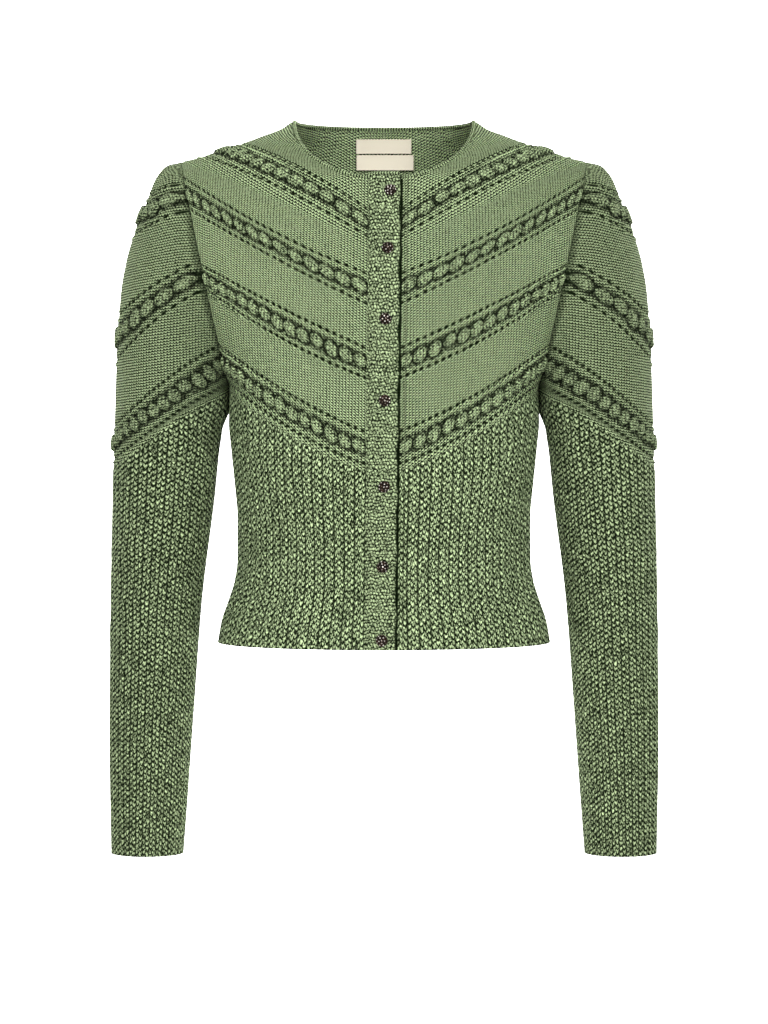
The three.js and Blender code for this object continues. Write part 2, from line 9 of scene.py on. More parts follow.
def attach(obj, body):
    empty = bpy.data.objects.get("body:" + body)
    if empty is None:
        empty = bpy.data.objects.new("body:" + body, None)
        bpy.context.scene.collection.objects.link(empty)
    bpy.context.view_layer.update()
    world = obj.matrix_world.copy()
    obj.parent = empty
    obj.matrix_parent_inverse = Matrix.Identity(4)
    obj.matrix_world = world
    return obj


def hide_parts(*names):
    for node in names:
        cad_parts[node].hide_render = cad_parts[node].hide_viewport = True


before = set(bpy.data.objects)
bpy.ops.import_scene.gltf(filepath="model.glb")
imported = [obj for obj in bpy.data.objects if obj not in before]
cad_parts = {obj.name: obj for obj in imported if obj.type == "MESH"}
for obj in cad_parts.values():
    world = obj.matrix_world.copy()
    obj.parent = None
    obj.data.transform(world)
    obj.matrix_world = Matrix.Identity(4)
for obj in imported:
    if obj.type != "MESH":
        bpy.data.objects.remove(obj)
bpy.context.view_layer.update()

mm = 0.001
quarter = math.pi / 2

# the garment's own form, in millimetres as (height, value) rows
body = {
    "wall": 2.6,
    "neckHalfWidth": 85.6,
    "neckDrop": {-1: 59, 1: 3.2},  # -1 is the front, 1 the back
    "tip": (-37.5, 188),
    "underarm": (-246, 143.5),
    "holeHalfDepth": 58,
    "hem": -483,
    "roundness": 0.86,
    "shoulder": [(0, 85.6), (-7.4, 96.8), (-13, 111.5), (-24.2, 142), (-35.3, 177.5), (-37.5, 188)],
    "side": [(-246, 143.5), (-277, 143.8), (-296, 142), (-333, 138.3), (-370, 135.2), (-407, 135.4),
             (-426, 138), (-444, 143.6), (-463, 150), (-483, 153.6)],
    "depth": {
        -1: [(0, 34), (-15, 50), (-30, 63), (-54, 79), (-100, 97), (-150, 108), (-200, 113), (-260, 110),
             (-330, 101), (-390, 96), (-440, 100), (-483, 106)],
        1: [(0, 67), (-15, 75), (-30, 82), (-54, 90), (-100, 98), (-150, 102), (-200, 100), (-260, 93),
            (-330, 84), (-390, 82), (-440, 89), (-483, 97)],
    },
}
holeMiddle = (body["tip"][0] + body["underarm"][0]) / 2
holeHalf = (body["tip"][0] - body["underarm"][0]) / 2


def tableAt(table, z):
    zs, vs = np.array(sorted(table), float).T
    h = np.diff(zs)
    slope = np.diff(vs) / h
    tangent = np.concatenate([slope[:1], np.zeros(len(slope) - 1), slope[-1:]])
    before, after = slope[:-1], slope[1:]
    product = before * after
    total = np.where(product > 0, before + after, 1)
    tangent[1:-1] = np.where(product > 0, 2 * product / total, 0)
    z = np.clip(z, zs[0], zs[-1])
    i = np.clip(np.searchsorted(zs, z, side="right") - 1, 0, len(h) - 1)
    t = (z - zs[i]) / h[i]
    rise = vs[i + 1] - vs[i]
    lean = t * (1 - t) ** 2 * tangent[i] * h[i] - t**2 * (1 - t) * tangent[i + 1] * h[i]
    return vs[i] + t**2 * (3 - 2 * t) * rise + lean


def smooth(low, high, x):
    t = np.clip((x - low) / (high - low), 0, 1)
    return t * t * (3 - 2 * t)


def bell(x, width):
    return np.exp(-((x / width) ** 2))


def mix(a, b, t):
    return a + (b - a) * t


def fract(x):
    return x - np.floor(x)


def holeTurn(z):
    return np.arccos(np.clip((z - holeMiddle) / holeHalf, -1, 1))


def edgeAngle(face, z):
    reach = np.maximum(body["holeHalfDepth"] * np.sin(holeTurn(z)), 0.15) / tableAt(body["depth"][face], z)
    return np.arccos(reach ** (1 / body["roundness"]))


def halfWidth(face, z):
    (tipZ, tipX), (armZ, armX) = body["tip"], body["underarm"]
    line = mix(armX, tipX, (z - armZ) / (tipZ - armZ)) / np.sin(edgeAngle(face, z))
    return np.where(z >= tipZ, tableAt(body["shoulder"], z), np.where(z <= armZ, tableAt(body["side"], z), line))


def bodyPoint(face, side, angle, z):
    a = np.clip(angle, 0, quarter)
    y = tableAt(body["depth"][face], z) * np.maximum(np.cos(a), 0) ** body["roundness"]
    return np.stack([side * halfWidth(face, z) * np.sin(a), face * y, z + 0 * a], -1)


def slopeNormal(surface, u, v, outward):
    across = surface(u + 0.012, v) - surface(u - 0.012, v)
    along = surface(u, v + 0.4) - surface(u, v - 0.4)
    n = np.cross(across, along)
    n /= np.linalg.norm(n, axis=-1, keepdims=True)
    return n * np.where((n * outward).sum(-1, keepdims=True) < 0, -1, 1)


def bodyNormal(face, side, angle, z):
    outward = bodyPoint(face, side, angle, z)
    outward[..., 2] = np.where(z > body["tip"][0], body["neckHalfWidth"] / 2, 0)
    a = np.clip(angle, 0.024, quarter - 0.024)
    return slopeNormal(lambda p, q: bodyPoint(face, side, p, q), a, np.minimum(z, -0.8), outward)


def reliefShare(points):
    away = np.abs(points) - np.array([body["underarm"][1], 0, -body["underarm"][0]])
    return smooth(16, 48, np.linalg.norm(away, axis=-1))  # flat where sleeve and body touch


# knitting: one band of eyelets, ridges and bobbles, then the rib, as heights, with painted shade in grooves and
# eyelets and painted highlights on bobbles and ridges
band = {
    "zone": (0.19, 0.24, 0.79, 0.75),  # where the bobbles stand, as shares of the band's width
    "moat": 0.8,
    "wander": (0.05, 0.03),
    "bobble": {"middle": 0.48, "reach": 0.165, "width": 0.52, "height": 3.4, "lean": 0.15, "cableLean": 0.5},
    "ridges": (  # middle, rise, width
        (0.0, 0.5, 0.018),
        (0.165, 1.3, 0.03),
        (0.79, 0.7, 0.02),
        (0.96, 1.4, 0.03),
    ),
    "stitches": 4,  # to each bobble
    "courses": 11,
    "eyelets": {"middles": (0.075, 0.875), "perBobble": 2, "shift": 0.25, "wide": 0.33, "tall": 0.052, "depth": 2.1},
    "loops": (  # across, middle, width, tall, rise
        (0.0, 0.3, 0.13, 0.055, 1.1),
        (0.02, 0.66, 0.15, 0.06, 1.3),
        (0.47, 0.25, 0.1, 0.04, 0.8),
        (0.52, 0.72, 0.1, 0.04, 0.7),
    ),
}
randomSizes = np.random.default_rng(7).uniform(-1, 1, (8, 64, 4))


def bandKnit(t, u, count, index):
    b = band["bobble"]
    cell = np.clip(np.floor(u * count).astype(int), 0, 63)
    size = randomSizes[index % 8, cell]
    at = fract(u * count) - 0.5
    lean = b["cableLean"] if index // 2 == 3 else b["lean"]  # the lowest band crosses like a cable
    wanderX, wanderY = band["wander"]
    x = (at + wanderX * size[..., 0] + lean * (t - b["middle"])) / (b["width"] * (1 + 0.09 * size[..., 1]))
    y = (t - b["middle"] + wanderY * size[..., 2]) / (b["reach"] * (1.1 + 0.13 * size[..., 3]))
    round2 = x * x + y * y
    dome = np.clip(1 - round2, 0, 1) ** 0.5
    low, lowIn, high, highIn = band["zone"]
    inside = smooth(low, lowIn, t) * smooth(high, highIn, t)
    height = dome * b["height"] - band["moat"] * inside * smooth(0.7, 1.1, round2) * smooth(2.6, 1.2, round2)
    # painted shade in the moat round each bobble
    groove = inside * smooth(0.72, 1.0, round2) * smooth(2.2, 1.15, round2)
    for across, middle, wide, tall, rise in band["loops"]:
        off = at + 0.06 * size[..., 1] - across
        loop = bell(off - np.rint(off), wide) * bell(t - middle - 0.015 * size[..., 2], tall)
        height = height + rise * loop
        groove = groove * (1 - loop)
    ridge = 0
    beat = 0.8 + 0.2 * np.cos(2 * math.pi * u * count * band["stitches"])
    for middle, rise, width in band["ridges"]:
        stitched = bell(t - middle, width) * beat
        height = height + rise * stitched
        ridge = ridge + stitched * min(rise, 1)
    # eyelet pits: real dimples whose colour is dropped to near black, painted shade inside the eyelets
    hole = 0
    e = band["eyelets"]
    for k, middle in enumerate(e["middles"]):
        place = u * count * e["perBobble"] + e["shift"] * k
        pick = randomSizes[(index + k) % 8, np.floor(place).astype(int) % 64]
        pit = bell(fract(place) - 0.5 + 0.06 * pick[..., 1], e["wide"] + 0.05 * pick[..., 0])
        pit = pit * bell(t - middle - 0.006 * pick[..., 2], e["tall"])
        height = height - e["depth"] * pit
        hole = hole + pit
    # returns height, the painted groove shade, the painted eyelet shade, and the painted highlight on bobbles and
    # ridges
    return height, groove, np.clip(hole * 3.2 - 0.7, 0, 1), dome * inside * 0.7 + ridge * 1.1


def roughPart(t):  # loose, uneven stitches between the ridges
    return smooth(0.21, 0.25, t) * smooth(0.76, 0.71, t)


def knitBands(r, t, u, counts, first, other):  # the last of the five is each point's bobble count
    knit = [*bandKnit(t, u, counts[0], first), 0 * r + counts[0]]
    for i, count in enumerate(counts[1:], 1):
        here = np.floor(r) == 2 * i
        made = *bandKnit(t, u, count, 2 * i + other), count
        knit = [np.where(here, a, b) for a, b in zip(made, knit)]
    return knit


def beadMap(u, t, z, count, ribbed, garment):
    x = np.where(ribbed, u * garment["ribs"] * garment["ribColumns"], u * count * band["stitches"])
    return x, np.where(ribbed, -z / garment["ribCourse"], t * band["courses"])


def ribKnit(u, count):
    p = fract(u * count)
    near = np.minimum(p, 1 - p)
    height = 0.8 * (1 - (2 * p - 1) ** 4) - 0.8 * bell(near, 0.1)
    height = height - 0.35 * bell(p - 0.55, 0.08) + 0.45 * bell(p - 0.14, 0.07)
    # painted shade along each rib's fold
    groove = bell(near, 0.085) + 0.3 * bell(p - 0.55, 0.06)
    return height, groove


# soft folds, given one by one: across, height, tilt in degrees, half length, half width, rise (mm)
folds = {
    -1: [
        (62, -352, 78, 60, 9, 1.6),
        (98, -330, 70, 55, 8, 1.4),
        (118, -390, 84, 45, 7, -1.2),
        (84, -430, 86, 40, 8, 1.3),
        (40, -440, 88, 38, 7, -0.9),
        (128, -268, 30, 26, 7, 1.6),
        (118, -286, 24, 30, 6, -1.0),
        (150, -110, 62, 40, 8, 1.5),
    ],
    1: [
        (50, -350, 80, 66, 10, 1.8),
        (88, -362, 74, 58, 8, -1.3),
        (112, -330, 70, 50, 9, 1.7),
        (30, -430, 86, 44, 9, 1.3),
        (96, -440, 82, 38, 8, 1.2),
        (124, -262, 32, 30, 7, 1.8),
        (60, -60, 12, 44, 9, 1.2),
        (140, -150, 66, 38, 8, 1.4),
    ],
}
sleeveFolds = [  # turn in degrees from the outer line, height, tilt, half length, half width, rise
    (62, -392, 24, 46, 9, 1.7),
    (84, -418, 16, 40, 8, -1.2),
    (48, -446, 28, 44, 8, 1.5),
    (120, -300, -30, 40, 9, 1.8),
    (104, -330, -34, 36, 8, -1.3),
    (-64, -404, 20, 48, 9, 1.9),
    (-98, -436, 14, 44, 8, 1.6),
    (-126, -306, -28, 42, 9, 1.9),
    (30, -560, 70, 40, 8, 1.0),
    (-40, -600, 74, 44, 9, 1.2),
    (140, -480, 8, 36, 8, 1.3),
    (76, -640, 60, 30, 7, 0.9),
]
foldArch = 0.004


def foldHeight(across, z, rows):
    height = 0 * z
    for x, middle, tilt, reach, width, rise in rows:
        c, s = math.cos(math.radians(tilt)), math.sin(math.radians(tilt))
        along = (across - x) * c + (z - middle) * s
        off = (z - middle) * c - (across - x) * s
        height = height + rise * bell(along, reach) * bell(off + foldArch * along**2, width)
    return height


yarnMarks = ("groove", "hole", "beads", "rough", "proud", "rib")  # what the yarn's material reads


def gridMesh(columns, rows, flip):
    bm = bmesh.new()
    bmesh.ops.create_grid(bm, x_segments=columns, y_segments=rows, size=0.5)
    if flip:
        bmesh.ops.reverse_faces(bm, faces=bm.faces[:])
    mesh = bpy.data.meshes.new("grid")
    bm.to_mesh(mesh)
    bm.free()
    co = np.zeros(len(mesh.vertices) * 3)
    mesh.vertices.foreach_get("co", co)
    co = co.reshape(-1, 3)
    col = np.rint((co[:, 0] + 0.5) * columns).astype(int)
    row = np.rint((0.5 - co[:, 1]) * rows).astype(int)
    return mesh, row, col


def mapGrid(surface, columns, rows, outside, flip):
    mesh, row, col = gridMesh(columns, rows, flip)
    u, v = np.meshgrid(np.linspace(0, 1, columns + 1), np.linspace(0, 1, rows + 1))
    made = surface(u, v, outside)
    mesh.vertices.foreach_set("co", (made["co"][row, col] * mm).ravel())
    loops = np.zeros(len(mesh.loops), int)
    mesh.loops.foreach_get("vertex_index", loops)
    for name in ("knit", "bead"):
        layer = mesh.uv_layers.new(name=name)
        uv = np.stack([made[name][0] + 0 * u, made[name][1] + 0 * u], -1)[row, col]
        layer.uv.foreach_set("vector", uv[loops].ravel())
    for name in yarnMarks:
        plainSide = not outside and name in ("groove", "hole", "rough")  # the wrong side has no relief
        values = (0 * u if plainSide else made.get(name, 0) + 0 * u)[row, col]
        mesh.attributes.new(name, "FLOAT", "POINT").data.foreach_set("value", values.astype(np.float32))
    return mesh


def shell(name, surface, size, inside, joinedBelow=None, split=None, flip=False):
    bm = bmesh.new()
    for (columns, rows), outside in ((size, True), (inside, False)):
        mesh = mapGrid(surface, columns, rows, outside, flip == outside)
        bm.from_mesh(mesh)
        bpy.data.meshes.remove(mesh)
    if joinedBelow is not None:  # the tube's own seam
        edge = {v for e in bm.edges if e.is_boundary for v in e.verts if v.co.z < joinedBelow * mm}
        bmesh.ops.remove_doubles(bm, verts=list(edge), dist=1e-6)
    rims = [e for e in bm.edges if e.is_boundary]
    if split is None:
        bmesh.ops.bridge_loops(bm, edges=rims)
    else:
        for low in (True, False):
            bmesh.ops.bridge_loops(bm, edges=[e for e in rims if (e.verts[0].co.z < split * mm) == low])
    return finishPiece(name, bm)


def finishPiece(name, bm):
    mesh = bpy.data.meshes.new(name)
    for face in bm.faces:
        face.smooth = True
    bm.to_mesh(mesh)
    bm.free()
    piece = bpy.data.objects.new(name, mesh)
    bpy.context.scene.collection.objects.link(piece)
    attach(piece, "root")
    return piece


def standFor(piece, node):
    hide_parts(node)
    return piece


def arcOf(co):  # horizontal length along each grid row
    step = np.hypot(*np.moveaxis(np.diff(co[..., :2], axis=1), -1, 0))
    return np.concatenate([np.zeros((len(co), 1)), np.cumsum(step, 1)], 1)


def dropOf(co, r):  # length down each grid column, from the first band
    down = np.cumsum(np.linalg.norm(np.diff(co, axis=0, prepend=co[:1]), axis=-1), 0)
    return down - np.min(np.where(r < 0, np.inf, down), axis=0)


# fronts and back
panel = {
    "middles": [-84.7, -115.1, -142, -175.9, -209.5, -242.4, -284.3, -320.5, -483],
    "edges": [-20, -34.5, -51, -88, -132.5, -161, -205, -246, -483],
    "bows": [5, 5.5, -7, -3, -2, -7, -6, -8, 0],
    "steps": [26, 30, 14, 30, 14, 30, 16, 30, 84],  # grid rows from the neck down to the hem
    "backDip": 8,
    "bobbles": [14, 14, 14, 14],
    "ribs": 20,
    "ribColumns": 3,
    "bandHalf": 14,
    "bandTop": -56,
    "opening": {-1: 14.3, 1: 14.15},  # from the placket's middle line to each front
    "wale": 2.9,
    "course": 2.5,
    "ribCourse": 5.75,
}
rowStops = np.concatenate([[0], np.cumsum(panel["steps"])]) / sum(panel["steps"])


def bandMiddle(z):
    return mix(1, -4, np.clip((panel["bandTop"] - z) / (panel["bandTop"] - body["hem"]), 0, 1))


def openingEdge(side, z):
    return panel["opening"][side] + side * bandMiddle(z)


def neckRow(face, side, u):
    drop = body["neckDrop"][face]
    start = openingEdge(side, -drop) if face < 0 else 0
    turn = mix(math.asin(start / body["neckHalfWidth"]), quarter, u)
    z, x = -drop * np.cos(turn), body["neckHalfWidth"] * np.sin(turn)
    return z, np.minimum(np.arcsin(np.clip(x / halfWidth(face, z), 0, 1)), edgeAngle(face, z))


def bodyGrid(face, side, u, v):
    r = np.interp(v, rowStops, np.arange(-1, len(rowStops) - 1))
    k = np.arange(len(panel["middles"]))
    middles = np.array(panel["middles"], float)
    if face > 0:
        middles[:-1] -= panel["backDip"]
    middle, edge, bow = (np.interp(r, k, a) for a in (middles, panel["edges"], panel["bows"]))
    limit = edgeAngle(face, edge)
    across = np.sin(u * limit) / np.sin(limit)
    z = mix(middle, edge, across) + 4 * bow * across * (1 - across)
    start = openingEdge(side, middle) if face < 0 else 0 * middle
    x = mix(start, halfWidth(face, edge) * np.sin(limit), across)
    angle = np.minimum(np.arcsin(np.clip(x / halfWidth(face, z), 0, 1)), edgeAngle(face, z))
    neckZ, neckAngle = neckRow(face, side, u)
    s = np.clip(r + 1, 0, 1)
    z, angle = np.where(r < 0, mix(neckZ, z, s), z), np.where(r < 0, mix(neckAngle, angle, s), angle)
    return r, middle, angle, z


def bodySurface(face, side, u, v, outside):
    sign = side
    if face > 0:
        sign, u = np.where(u < 0.5, -1, 1), np.abs(2 * u - 1)
    r, middle, angle, z = bodyGrid(face, side, u, v)
    base = bodyPoint(face, sign, angle, z)
    normal = bodyNormal(face, sign, angle, z)
    arc = arcOf(base)
    if face > 0:
        arc = np.abs(arc - arc[:, arc.shape[1] // 2][:, None])
    down = dropOf(base, r)
    inBand = (r >= 0) & (r < 7) & (np.floor(r) % 2 == 0)
    t = fract(r)
    ribbed = r >= 7
    height, groove, hole, dome, count = knitBands(r, t, u, panel["bobbles"], 1, face > 0)
    ribHeight, ribGrooveShade = ribKnit(u, panel["ribs"])
    fade = smooth(7, 7.03, r)
    tipZ = body["tip"][0]
    seam = smooth(0.988, 0.997, u) * (z > body["underarm"][0] - 4) * smooth(tipZ + 2, tipZ - 4, z)
    if face < 0 and side > 0:  # painted shadow beside the placket's raised edge, then a thin dark line
        past = base[..., 0] - openingEdge(side, z)
        gap = smooth(2.7, 1.6, past + 0.5 * np.sin(z / 4.7) * np.sin(z / 11))
        seam = np.maximum(seam, gap + 0.7 * bell(past - 5.9, 0.6))
    lift = np.where(inBand, height, np.where(ribbed, ribHeight * fade, 0))
    lift = lift * smooth(0, 0.012, u if face < 0 else 1) * smooth(1, 0.985, u)
    fold = foldHeight(np.abs(base[..., 0]), z, folds[face])
    lift = lift + fold * smooth(1, 0.9, u) * smooth(0, 0.08, u if face < 0 else 1)
    share = reliefShare(base)
    amount = lift * share if outside else -body["wall"] + 0 * lift
    return {
        "co": base + normal * amount[..., None],
        "knit": (arc / panel["wale"] + 0.5, down / panel["course"]),
        "bead": beadMap(u, t, z, count, ribbed, panel),
        # grooves and eyelets carry painted shade, the armhole seam a dark line; proud is the painted highlight on
        # bobbles and ridges, and painted light over the inside faces
        "groove": np.where(inBand, groove, np.where(ribbed, ribGrooveShade * fade, 0)) * share,
        "hole": np.maximum(np.where(inBand, hole, 0) * share, seam),
        "rough": np.where(inBand, roughPart(t), 0),
        "proud": np.where(inBand, dome, 0) if outside else 0.8,
        "rib": smooth(7, 7.01, r),
    }


print("body panels")
rows = sum(panel["steps"])
fronts = []
for side, name in ((-1, "front_right"), (1, "front_left")):
    piece = shell(
        "knit_" + name,
        lambda u, v, outside, side=side: bodySurface(-1, side, u, v, outside),
        (252, rows),
        (42, 50),
        flip=side > 0,
    )
    fronts.append(standFor(piece, name))
back = shell("knit_back", lambda u, v, outside: bodySurface(1, 1, u, v, outside), (420, 220), (84, 50), flip=True)
standFor(back, "back")

# sleeves
sleeve = {
    "gap": 0.02,
    "slide": 0.2,
    "cuff": -677,
    "capSpan": math.radians(22),
    "cap": [(-37.5, 0, 0), (-41.5, 0.3, 0.7), (-50, 0.65, 1)],  # crown, ease, gather
    "gathersPerTurn": 26,
    "gather": 1.5,
    "middles": [-66, -111, -177, -228, -280, -318, -677],
    "edges": [-57, -89.5, -131.5, -162.5, -207, -248, -677],
    "steps": [22, 34, 18, 34, 18, 34, 110],
    "bobbles": [9, 15, 28],
    "ribs": 34,
    "ribColumns": 2,
    "ribCourse": 5.0,
    "outer": [(-37.5, 188), (-41, 200), (-47, 206.5), (-58, 213.5), (-73, 219.5), (-100, 230.5), (-130, 239.5),
              (-160, 244.5), (-212, 248), (-300, 250.5), (-435, 252.5), (-560, 253.5), (-677, 251.5)],
    "inner": [(-246, 143.5), (-258, 143.6), (-269, 143.9), (-277, 147.2), (-287, 150.9), (-351, 158),
              (-444, 169.3), (-537, 176), (-630, 182.5), (-677, 186)],
    "half": [(-37.5, 58), (-80, 61), (-150, 63), (-250, 59), (-350, 52), (-444, 44), (-560, 36), (-677, 30)],
    "forward": [(-37.5, 0), (-150, 0), (-250, 1), (-350, 4), (-444, 8), (-560, 13), (-677, 16)],
}
sleeveStops = np.concatenate([[0], np.cumsum(sleeve["steps"])]) / sum(sleeve["steps"])


def sleevePoint(side, turn, z):
    slide, tipZ = sleeve["slide"], body["tip"][0]
    start = body["underarm"][0] - slide * tipZ
    level = start / (1 - slide)
    c = np.cos(turn)
    sloped = (z - start * (1 - c) / 2) / ((1 + c) / 2 + slide * (1 - c) / 2)
    outerZ = np.where(z > level, np.minimum(sloped, tipZ), z)
    innerZ = np.where(z > level, start + slide * outerZ, z)
    outerX, innerX = tableAt(sleeve["outer"], outerZ), tableAt(sleeve["inner"], innerZ)
    y = -tableAt(sleeve["forward"], outerZ) - tableAt(sleeve["half"], outerZ) * np.sin(turn)
    x = (outerX + innerX) / 2 + (outerX - innerX) / 2 * c + sleeve["gap"]
    return np.stack([side * x, y, z + 0 * turn], -1)


def sleeveNormal(side, turn, z):
    middle = (sleevePoint(side, quarter + 0 * turn, z) + sleevePoint(side, -quarter + 0 * turn, z)) / 2
    outward = sleevePoint(side, turn, z) - middle
    outward[..., 2] += np.where(z > holeMiddle, body["holeHalfDepth"] / 2, 0)
    v = np.minimum(z, holeMiddle + holeHalf * np.cos(turn) - 0.8)
    return slopeNormal(lambda p, q: sleevePoint(side, p, q), turn, v, outward)


def sleeveSurface(side, u, v, outside):
    across = 1 - 2 * u
    r = np.interp(v, sleeveStops, np.arange(-1, len(sleeveStops) - 1))
    k = np.arange(len(sleeve["middles"]))
    middle, edge = np.interp(r, k, sleeve["middles"]), np.interp(r, k, sleeve["edges"])
    span = holeTurn(edge)
    capShare = np.clip(r + 1, 0, 1)
    at = np.array([0, 1 / 3, 2 / 3, 1])
    firstTurn = float(holeTurn(sleeve["edges"][0]))
    eases = [e for _, e, _ in sleeve["cap"]] + [1]
    capSpan = mix(sleeve["capSpan"], firstTurn, np.interp(capShare, at, eases))
    crown = np.interp(capShare, at, [c for c, _, _ in sleeve["cap"]] + [sleeve["middles"][0]])
    span = np.where(r < 0, capSpan, span)
    turn = across * span
    z = mix(middle, edge, (1 - np.cos(turn)) / (1 - np.cos(span)))
    capZ = mix(crown, holeMiddle + holeHalf * np.cos(span), across**2)
    z = np.where(r < 0, np.minimum(capZ, holeMiddle + holeHalf * np.cos(turn)), z)
    base = sleevePoint(side, turn, z)
    normal = sleeveNormal(side, turn, z)
    arc = arcOf(base)
    arc = arc - arc[:, arc.shape[1] // 2][:, None]
    down = dropOf(base, r)
    inBand = (r >= 0) & (r < 5) & (np.floor(r) % 2 == 0)
    t = fract(r)
    ribbed = r >= 5
    height, groove, hole, dome, count = knitBands(r, t, u, sleeve["bobbles"], 0, side > 0)
    ribHeight, ribGrooveShade = ribKnit(u, sleeve["ribs"])
    fade = smooth(5, 5.02, r)
    lift = np.where(inBand, height, np.where(ribbed, ribHeight * fade * 0.9, 0))
    gather = np.interp(capShare, at, [g for _, _, g in sleeve["cap"]] + [0.5]) * smooth(1.1, 0, r)
    wave = np.cos(turn * sleeve["gathersPerTurn"]) * (1 - np.abs(across))
    lift = lift * np.where(ribbed, 1, smooth(0, 0.012, u) * smooth(1, 0.988, u)) + sleeve["gather"] * gather * wave
    fold = foldHeight(np.degrees(turn) * 0.9, z, [(a * 0.9, *rest) for a, *rest in sleeveFolds])
    lift = lift + fold * smooth(1, 0.9, np.abs(across))
    share = reliefShare(base)
    amount = lift * share if outside else -body["wall"] + 0 * lift
    seam = 0.8 * smooth(0.988, 0.997, np.abs(across)) * (edge > body["underarm"][0])
    return {
        "co": base + normal * amount[..., None],
        "knit": (arc / panel["wale"] + 0.5, down / panel["course"]),
        "bead": beadMap(u, t, z, count, ribbed, sleeve),
        # grooves and eyelets carry painted shade, the sleeve seam a dark line; proud is the painted highlight on
        # bobbles and ridges
        "groove": np.where(inBand, groove, np.where(ribbed, ribGrooveShade * fade, 0)) * share,
        "hole": np.maximum(np.where(inBand, hole, 0) * share, seam),
        "rough": np.where(inBand, roughPart(t), 0),
        "proud": np.where(inBand, dome, 0),
        "rib": smooth(5, 5.01, r),
    }


print("sleeves")
sleeves = []
for side, name in ((-1, "sleeve_right"), (1, "sleeve_left")):
    piece = shell(
        "knit_" + name,
        lambda u, v, outside, side=side: sleeveSurface(side, u, v, outside),
        (336, sum(sleeve["steps"])),
        (56, 60),
        joinedBelow=-246.5,
        split=-660,
        flip=side > 0,
    )
    sleeves.append(standFor(piece, name))

# button bands
placket = {
    "rise": 3.3,
    "flush": 5,
    "steps": 400,
    "wall": 2.6,
    "beadWidth": 2.8,
    "beadHeight": 3.1,
    "slitHalf": 6,
    "slitDepth": 1.2,
}
buttonPlaces = [(-70, 5.6), (-122, 3.2), (-185.5, 1.2), (-258, 0.5), (-335.5, 0), (-408.5, -1), (-474.5, -2)]


def openingPoint(x, z, lift):
    side = np.where(x < 0, -1, 1)
    angle = np.arcsin(np.abs(x) / halfWidth(-1, z))
    return bodyPoint(-1, side, angle, z) + bodyNormal(-1, side, angle, z) * np.asarray(lift)[..., None]


def bandSurface(left, right, upper, u, v, outside):
    z = mix(panel["bandTop"], body["hem"], v)
    x = mix(left, right, u)
    waver = 0.7 + 0.5 * np.sin(z / 9.1 + 1.3) + 0.4 * np.sin(z / 4.3)
    x = x + waver * smooth(0.6, 1, u) * (1 if upper else 0)
    rise = smooth(-panel["bandHalf"], placket["flush"] - panel["bandHalf"], x) * placket["rise"] if upper else 0 * x
    across, down = x / placket["beadWidth"] + 20, -z / placket["beadHeight"]
    down = down + 0.16 * np.sin(across * 1.9 + 0.7 * np.sin(down * 0.8)) + 0.1 * np.sin(down * 2.3)
    row = np.floor(down)
    staggered = across + 0.5 * (row % 2)
    size = randomSizes[row.astype(int) % 8, np.floor(staggered).astype(int) % 64]
    px, py = fract(staggered) - 0.5 + 0.09 * size[..., 0], down - row - 0.5 + 0.09 * size[..., 1]
    bead = np.sqrt(np.clip(1 - (px / 0.5) ** 2 - (py / (0.5 + 0.08 * size[..., 2])) ** 2, 0, 1))
    lift = rise + (0.9 * bead - 0.45) * smooth(0, 0.04, u) * smooth(1, 0.96, u)
    slit = 0 * x
    if upper:
        for buttonZ, buttonX in buttonPlaces:
            along = smooth(placket["slitHalf"], placket["slitHalf"] - 1.5, np.abs(bandMiddle(z) + x - buttonX))
            slit = np.maximum(slit, along * smooth(2, 0.8, np.abs(z - buttonZ)))
    if not outside:
        lift = rise - placket["wall"]
    return {
        "co": openingPoint(bandMiddle(z) + x, z, lift - slit * placket["slitDepth"]),
        "knit": (across * 1.5, down * 2),
        "bead": (across, down),
        # painted shade between the moss beads, in the buttonhole slits and along the band's raised free edge
        "groove": 0.4 * smooth(0.35, 0.05, bead),
        "hole": np.maximum(slit, smooth(0.94, 0.965, u) if upper else 0),
        "beads": 1,
    }


print("button bands")
buttonholeBand = shell(
    "knit_buttonhole_band",
    lambda u, v, outside: bandSurface(-14.25, 14, True, u, v, outside),
    (40, placket["steps"]),
    (10, 100),
)
standFor(buttonholeBand, "buttonhole_band")
buttonBand = shell(
    "knit_button_band",
    lambda u, v, outside: bandSurface(-6, 13.85, False, u, v, outside),
    (24, 200),
    (6, 50),
)
standFor(buttonBand, "button_band")

# rolled neck edge
roll = {
    "radius": 1.9,
    "gap": 0.3,
    "steps": 460,
    "sides": 14,
    "stitch": 2.6,
    "stitchRise": 0.18,
    "overBand": [(13, 2), (5, 2), (-4, 2), (-11, 0.4)],
}


def neckAt(face, side, share):
    def rowPoint(s):
        z, angle = neckRow(face, side, s)
        return bodyPoint(face, side, angle, z), angle, z

    point, angle, z = rowPoint(share)
    run = rowPoint(np.minimum(share + 0.012, 1))[0] - rowPoint(np.maximum(share - 0.012, 0))[0]
    normal = bodyNormal(face, side, angle, z)
    up = np.cross(normal, run)
    up /= np.linalg.norm(up, axis=-1, keepdims=True)
    up *= np.where(up[..., 2] - np.sign(point[..., 0]) * up[..., 0] < 0, -1, 1)[..., None]
    return point - normal * body["wall"] / 2 + up * (roll["radius"] + roll["gap"]), up, normal


